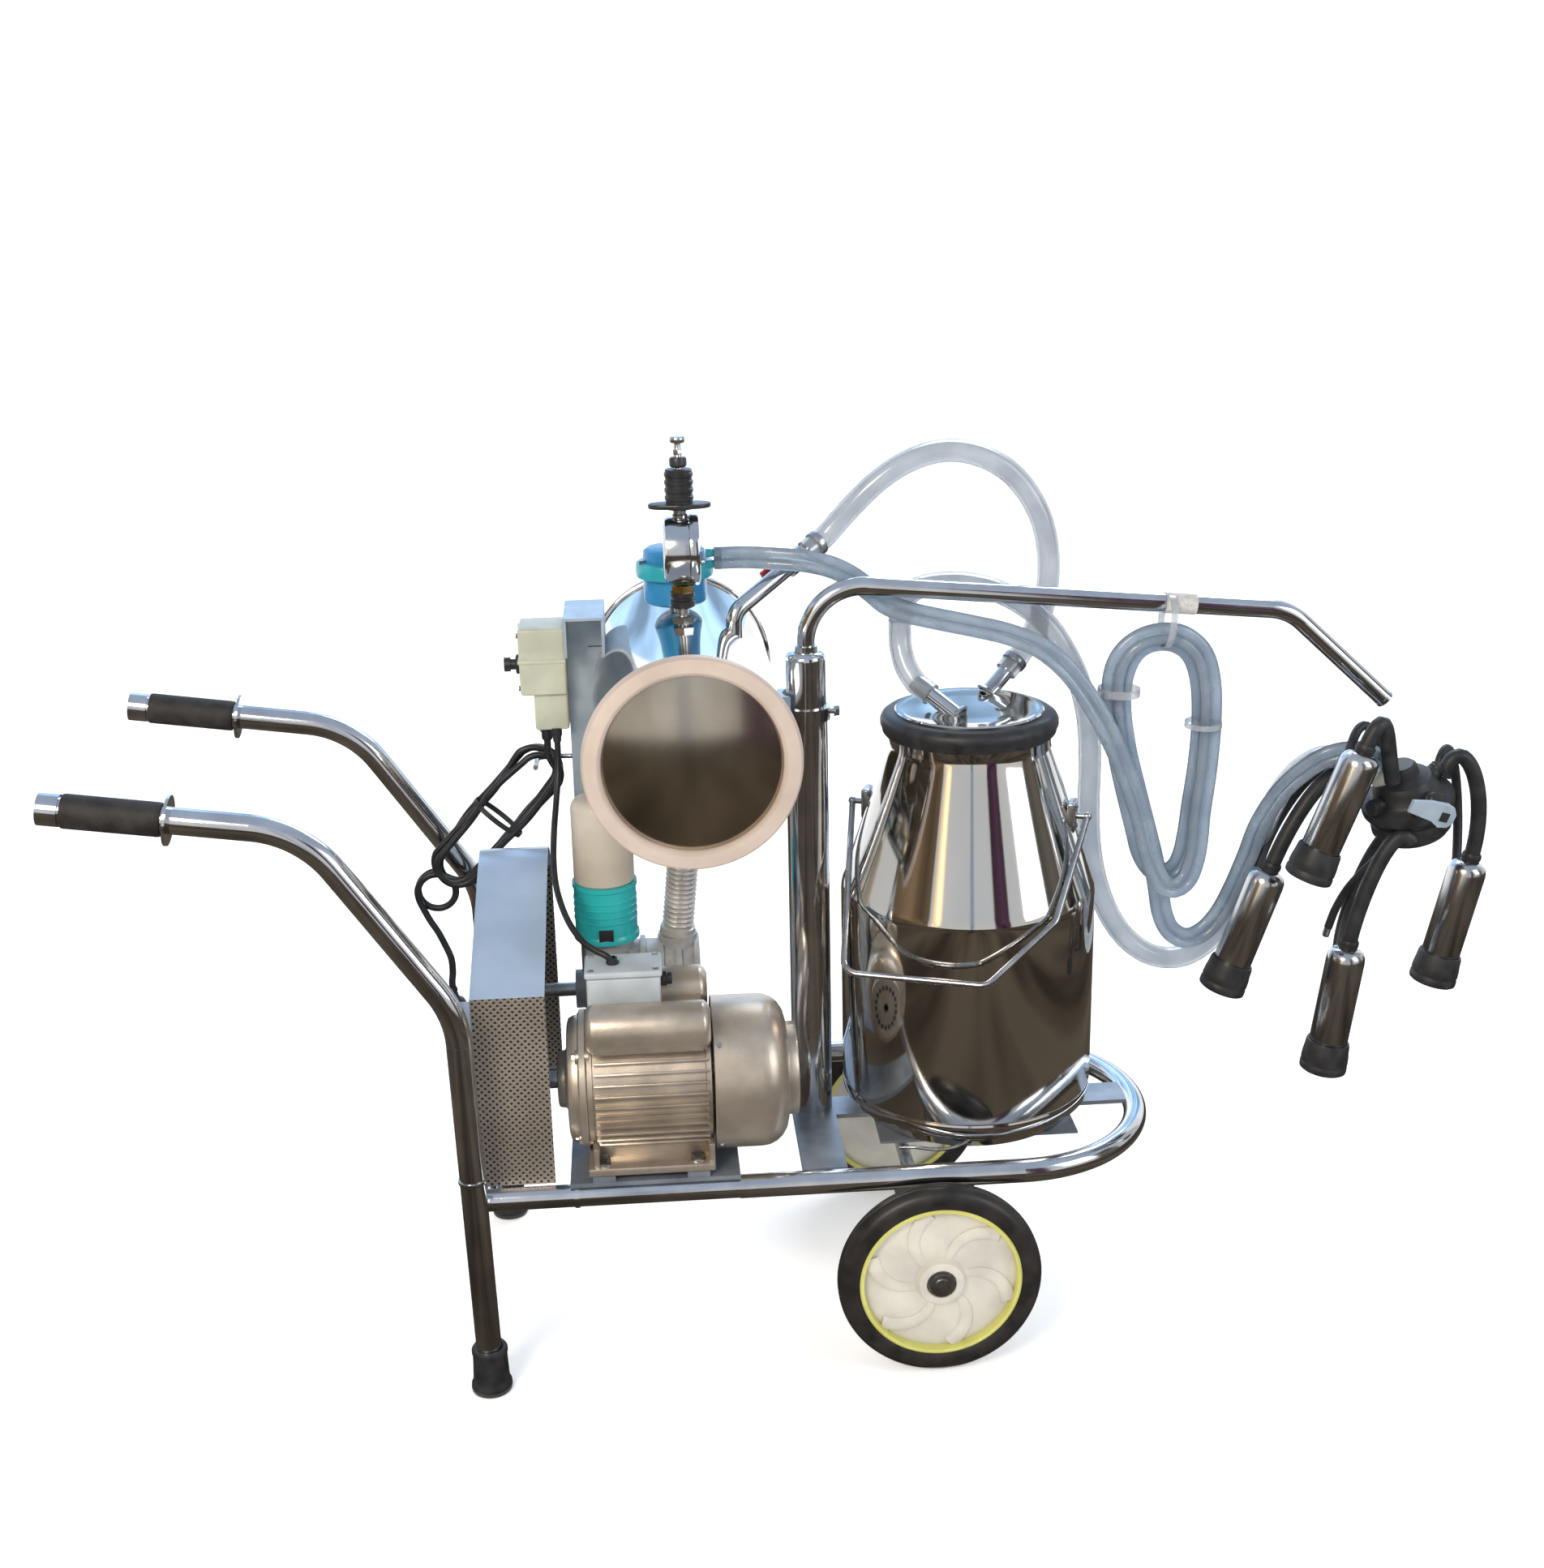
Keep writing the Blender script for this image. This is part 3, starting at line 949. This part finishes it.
parts.append(plate(hook, 6, on_hook, "bracket", 1.6))
parts.append(plate([(7, -6), (17, -6), (17, 5), (7, 5)], 7, on_hook, "black", 1))
parts.append(lathe(rounded(8, 0, 9, 1.2), at_claw(-4, -42, 14), tilt @ Vector((0, -1, 0)), "steel", 24))
done(join("claw_bowl_body", parts), "arm", "black_rubber", "claw_bowl")

NIPPLE_UP, NIPPLE_OUT, NIPPLE_DIR = 128, Vector((0, 20, 0)), Vector((0, 0.75, 0.65))
CUPS = (((534, -75, 502), 20.5), ((463, -20, 351), 19), ((574, -55, 262), 7.5), ((712, -10, 343), 12.5))
PORTS = ((630, -52, 600), (618, 2, 588), (654, -58, 532), (706, -6, 588))
shells, liners = [], []
for mouth, lean in CUPS:
    d = Vector((sin(radians(lean)), 0, cos(radians(lean))))
    shells.append(lathe([(19.5, 27), (20.8, 26.4), (21, 28), (21, 32), (20.4, 33), (20.4, 35), (21, 36),
            (21, 134), (20.4, 139), (18.4, 143.4), (15, 146.4), (11.6, 148), (10.2, 148.2), (10.2, 146)],
            mouth, d, "shell", 64))
    shells.append(lathe([(0, 0), (4.2, 0), (4.2, 12), (3.4, 13), (0, 13)],
            Vector(mouth) + d * NIPPLE_UP + NIPPLE_OUT, NIPPLE_DIR, "steel", 20))
    liners.append(lathe([(11, 1), (13, 0), (23.5, 0), (25.5, 1.4), (26, 3.4), (26, 8), (25.2, 9.6),
            (25.2, 11), (25.8, 12.4), (25.4, 20), (24.6, 25), (24, 33), (23.2, 35.6), (21.3, 36), (21.3, 26),
            (18, 25), (13.6, 24), (13.6, 120), (12, 132), (11, 132), (11, 1)], mouth, d, "rubber", 64))
    liners.append(lathe([(6, 130), (9.8, 132), (9.8, 150), (10.6, 152), (10.6, 156), (9.8, 158), (6, 158),
            (6, 130)], mouth, d, "rubber", 40))
done(join("steel_shells", shells), "arm", "polished_steel", "cup_shells")
done(join("liner_set", liners), "arm", "black_rubber", "cup_liners")

# Each cup hangs on a thick milk tube and a thin pulse tube.
LIFTS = (70, 60, 50, 90)
MILK_TUBE_R, PULSE_TUBE_R, DRAIN_R = 8.6, 5.2, 4.6


def arch(a, b, d, lift, shift):
    a, b = Vector(a), Vector(b)
    mid_a = a + d * lift
    mid_b = b + Vector(((a - b).x * 0.35, (a - b).y * 0.35, lift * 0.7))
    out = []
    for k in range(25):
        t = k / 24
        p = a * (1 - t) ** 3 + mid_a * (3 * t * (1 - t) ** 2) + mid_b * (3 * t * t * (1 - t)) + b * t ** 3
        out.append(p + Vector(shift) * sin(pi * t))
    return out


for k, ((mouth, lean), port, lift) in enumerate(zip(CUPS, PORTS, LIFTS)):
    d = Vector((sin(radians(lean)), 0, cos(radians(lean))))
    top = Vector(mouth) + d * 150
    line = resample(arch(top, port, d, lift, (0, 0, 0)), 5)
    tube = sweep(line, circle(MILK_TUBE_R, 20), "rubber", name="short_milk_tube_" + "abcd"[k])
    done(tube, "arm", "black_rubber", *(["short_tubes"] if k == 0 else []))
    start = Vector(mouth) + d * NIPPLE_UP + NIPPLE_OUT + NIPPLE_DIR.normalized() * 6
    goal = Vector(port) + Vector((0, 16, 6))
    line = resample(arch(start, goal, (d + Vector((0, 0.5, 0))).normalized(), lift * 0.95, (4, 10, 0)), 4)
    thin = sweep(line, circle(PULSE_TUBE_R, 14), "rubber", name="short_pulse_tube_" + "abcd"[k])
    done(thin, "arm", "black_rubber")

drain = spline([(640, -42, 530), (628, -40, 512), (612, -36, 492), (598, -30, 470), (588, -24, 444),
        (582, -21, 420)], 5)
drain_tube = sweep(drain, circle(DRAIN_R, 14), "rubber", name="drain_tube")
done(drain_tube, "arm", "black_rubber")
drain_tip = lathe([(0, -2), (4, -2), (4, 10), (3, 11), (0, 11)], drain[-1], (-0.2, 0.1, -1), "steel", 20,
    name="drain_tip")
done(drain_tip, "arm", "machined_steel")


# ------------------------------------------------------------------ ties, hooks and small trim
def strap(centre, along, ru, rv, wide, thick, material, name="part"):
    """A closed band round a bundle: an oval in the plane square to the direction along."""
    w = Vector(along).normalized()
    u = Vector((0, 1, 0))
    u = (u - w * u.dot(w)).normalized()
    v = w.cross(u)
    verts, faces, n = [], [], 40
    for k in range(n):
        a = 2 * pi * k / n
        for grow, offset in ((0, -wide / 2), (thick, -wide / 2), (thick, wide / 2), (0, wide / 2)):
            p = Vector(centre) + u * ((ru + grow) * cos(a)) + v * ((rv + grow) * sin(a)) + w * offset
            verts.append(P(*p))
    for k in range(n):
        j = (k + 1) % n
        for m in range(4):
            faces.append((k * 4 + m, k * 4 + (m + 1) % 4, j * 4 + (m + 1) % 4, j * 4 + m))
    return put(name, verts, faces, material)


done(strap((402, 0, 793.3), (1, 0, -0.094), 10.3, 10.3, 34, 0.7, "tape", name="arm_tape"), "arm",
    "cream_plastic")
done(strap((388, -6, 776), (1, 0, -0.09), 24, 28, 7, 1.0, "tie", name="hank_loop"), "arm", "cream_plastic")
done(strap((338, -4, 700), (0.03, 0, 1), 20, 22, 9, 1.0, "tie", name="hank_tape"), "arm", "cream_plastic")
done(strap((432, -6, 660), (0.02, 0, 1), 20, 19, 6, 1.2, "tie", name="hank_tie"), "arm", "cream_plastic")
done(strap((-347, 149, 536), (-0.67, 0, -0.74), 17.5, 33, 6, 1.2, "black", name="cord_tie"), "frame",
    "black_plastic")
hook_line = spline([(-252, 159, 600), (-254, 168, 600), (-264, 171, 600), (-286, 171, 600), (-297, 168, 600),
        (-299, 158, 600), (-299, 140, 600), (-299, 126, 601)], 4)
done(sweep(hook_line, circle(3, 12), "steel", name="cord_hook"), "frame", "machined_steel")
parts = []
for hose_end, direction, radius in ((vacuum_line[2], vacuum_line[4] - vacuum_line[0], 12.6),
        (vacuum_line[-3], vacuum_line[-5] - vacuum_line[-1], 12.6)):
    parts.append(lathe(ring_outline(radius, radius + 1.4, 0, 8, 0.5), hose_end, direction, "steel", 40,
            name="clamp"))
done(parts[0], "frame", "machined_steel")
done(parts[1], "lid", "machined_steel")
collars = [lathe(ring_outline(13.3, 15, 0, 4, 0.6), (-371.3, s * HANDLE_Y, 250), (-0.02, 0, 1), "chrome",
        40) for s in (-1, 1)]
done(join("leg_collars", collars), "frame", "chrome_tube")

# The bent wire under the bucket.
tray_line = spline([(84, -118, 226.5), (100, -124, 229), (116, -126, 227), (134, -127, 226.5),
        (150, -126, 230), (160, -122, 234)], 4)
done(sweep(tray_line, circle(2, 10), "steel", name="tray_wire"), "frame", "machined_steel")

# ------------------------------------------------------------------ floor, light and reflections
def flat(name, corners, material):
    mesh = bpy.data.meshes.new(name)
    mesh.from_pydata([tuple(c) for c in corners], [], [(0, 1, 2, 3)])
    mesh.materials.append(material)
    obj = new_object(name, mesh)
    return obj


floor_mat = surface("floor", (0.95, 0.95, 0.95), (0.93, 0.93, 0.93), 0.75, 0.05, 0.0, 3)
floor_shader = floor_mat.node_tree.nodes["Principled BSDF"]
floor_shader.inputs["Emission Color"].default_value = (1.0, 0.98, 0.95, 1)
floor_shader.inputs["Emission Strength"].default_value = 0.34
verts, faces = [], []
depth, tall, bend = 3.6, 4.5, 1.2
rows = [(-6.0, 0.0), (depth - bend, 0.0)]
for k in range(1, 13):
    a = pi / 2 * k / 12
    rows.append((depth - bend + bend * sin(a), bend - bend * cos(a)))
rows.append((depth, tall))
for y, z in rows:
    verts += [(-7, y, z), (7, y, z)]
for k in range(len(rows) - 1):
    faces.append((2 * k, 2 * k + 1, 2 * k + 3, 2 * k + 2))
mesh = bpy.data.meshes.new("floor")
mesh.from_pydata(verts, [], faces)
for poly in mesh.polygons:
    poly.use_smooth = True
mesh.materials.append(floor_mat)
new_object("floor", mesh)


def card(name, corners, colour):
    """A sheet outside the picture that only reflections see."""
    m, tree, shader = new_material(name)
    where = add(tree, "TexCoord").outputs["Object"]
    place = add(tree, "Mapping", Vector=where, Scale=(2.6, 0.5, 0.5)).outputs["Vector"]
    dark, light = [c * 0.45 for c in colour], [c * 1.35 for c in colour]
    tone = ramp(tree, noise_at(tree, place, 1), (0.38, dark), (0.62, light))
    wire(tree, shader, Emission_Color=tone, Base_Color=tone, Emission_Strength=1, Specular_IOR_Level=0)
    obj = flat(name, corners, m)
    for ray in ("camera", "diffuse", "shadow", "transmission", "volume_scatter"):
        setattr(obj, "visible_" + ray, False)


card("ground_card", [(-7, -6, 0.006), (7, -6, 0.006), (7, 2.2, 0.006), (-7, 2.2, 0.006)],
    (0.040, 0.032, 0.024))
for name, (x0, y0), (x1, y1), low, high, colour in (("brown_left", (-3.0, -3.4), (-3.0, -0.4), 0.0, 2.6,
            (0.10, 0.070, 0.042)), ("gold_band", (-2.9, -3.6), (-2.2, -3.8), 0.4, 3.2, (0.80, 0.60, 0.36)),
        ("grey_band", (-0.30, -4.0), (-0.08, -4.0), 0.2, 3.4, (0.22, 0.27, 0.34)),
        ("dark_band", (1.2, -4.0), (2.3, -4.0), 0.0, 3.6, (0.040, 0.018, 0.032)),
        ("dark_right", (3.4, -1.4), (3.4, -0.2), 0.0, 2.4, (0.050, 0.045, 0.038)),
        ("blue_back", (-2.4, 2.3), (2.4, 2.3), 1.0, 3.6, (0.30, 0.47, 0.70))):
    card(name, [(x0, y0, low), (x1, y1, low), (x1, y1, high), (x0, y0, high)], colour)

world = bpy.data.worlds.new("world")
bpy.context.scene.world = world
world.use_nodes = True
sky = world.node_tree
height = add(sky, "SeparateXYZ", Vector=add(sky, "TexCoord").outputs["Generated"]).outputs["Z"]
tone = ramp(sky, height, (0.0, (0.95, 0.94, 0.93)), (0.75, (0.56, 0.66, 0.82)), (0.25, (0.90, 0.92, 0.95)))
wire(sky, sky.nodes["Background"], Color=tone, Strength=0.74)


def softbox(name, at, aim, size, power, colour):
    data = bpy.data.lights.new(name, "AREA")
    data.shape = "RECTANGLE"
    data.size, data.size_y = size
    data.energy = power
    data.color = colour
    obj = new_object(name, data)
    obj.location = at
    obj.rotation_mode = "QUATERNION"
    obj.rotation_quaternion = (Vector(at) - Vector(aim)).to_track_quat("Z", "Y")
    return obj


softbox("key", (-1.5, -2.6, 2.4), (0, 0, 0.45), (1.1, 1.1), 70, (1.0, 0.88, 0.72))
softbox("fill", (2.6, -1.8, 1.9), (0, 0, 0.5), (1.4, 1.8), 30, (0.92, 0.96, 1.0))
softbox("rim", (0.8, 2.2, 2.6), (0, 0, 0.6), (1.8, 1.0), 45, (0.9, 0.95, 1.0))
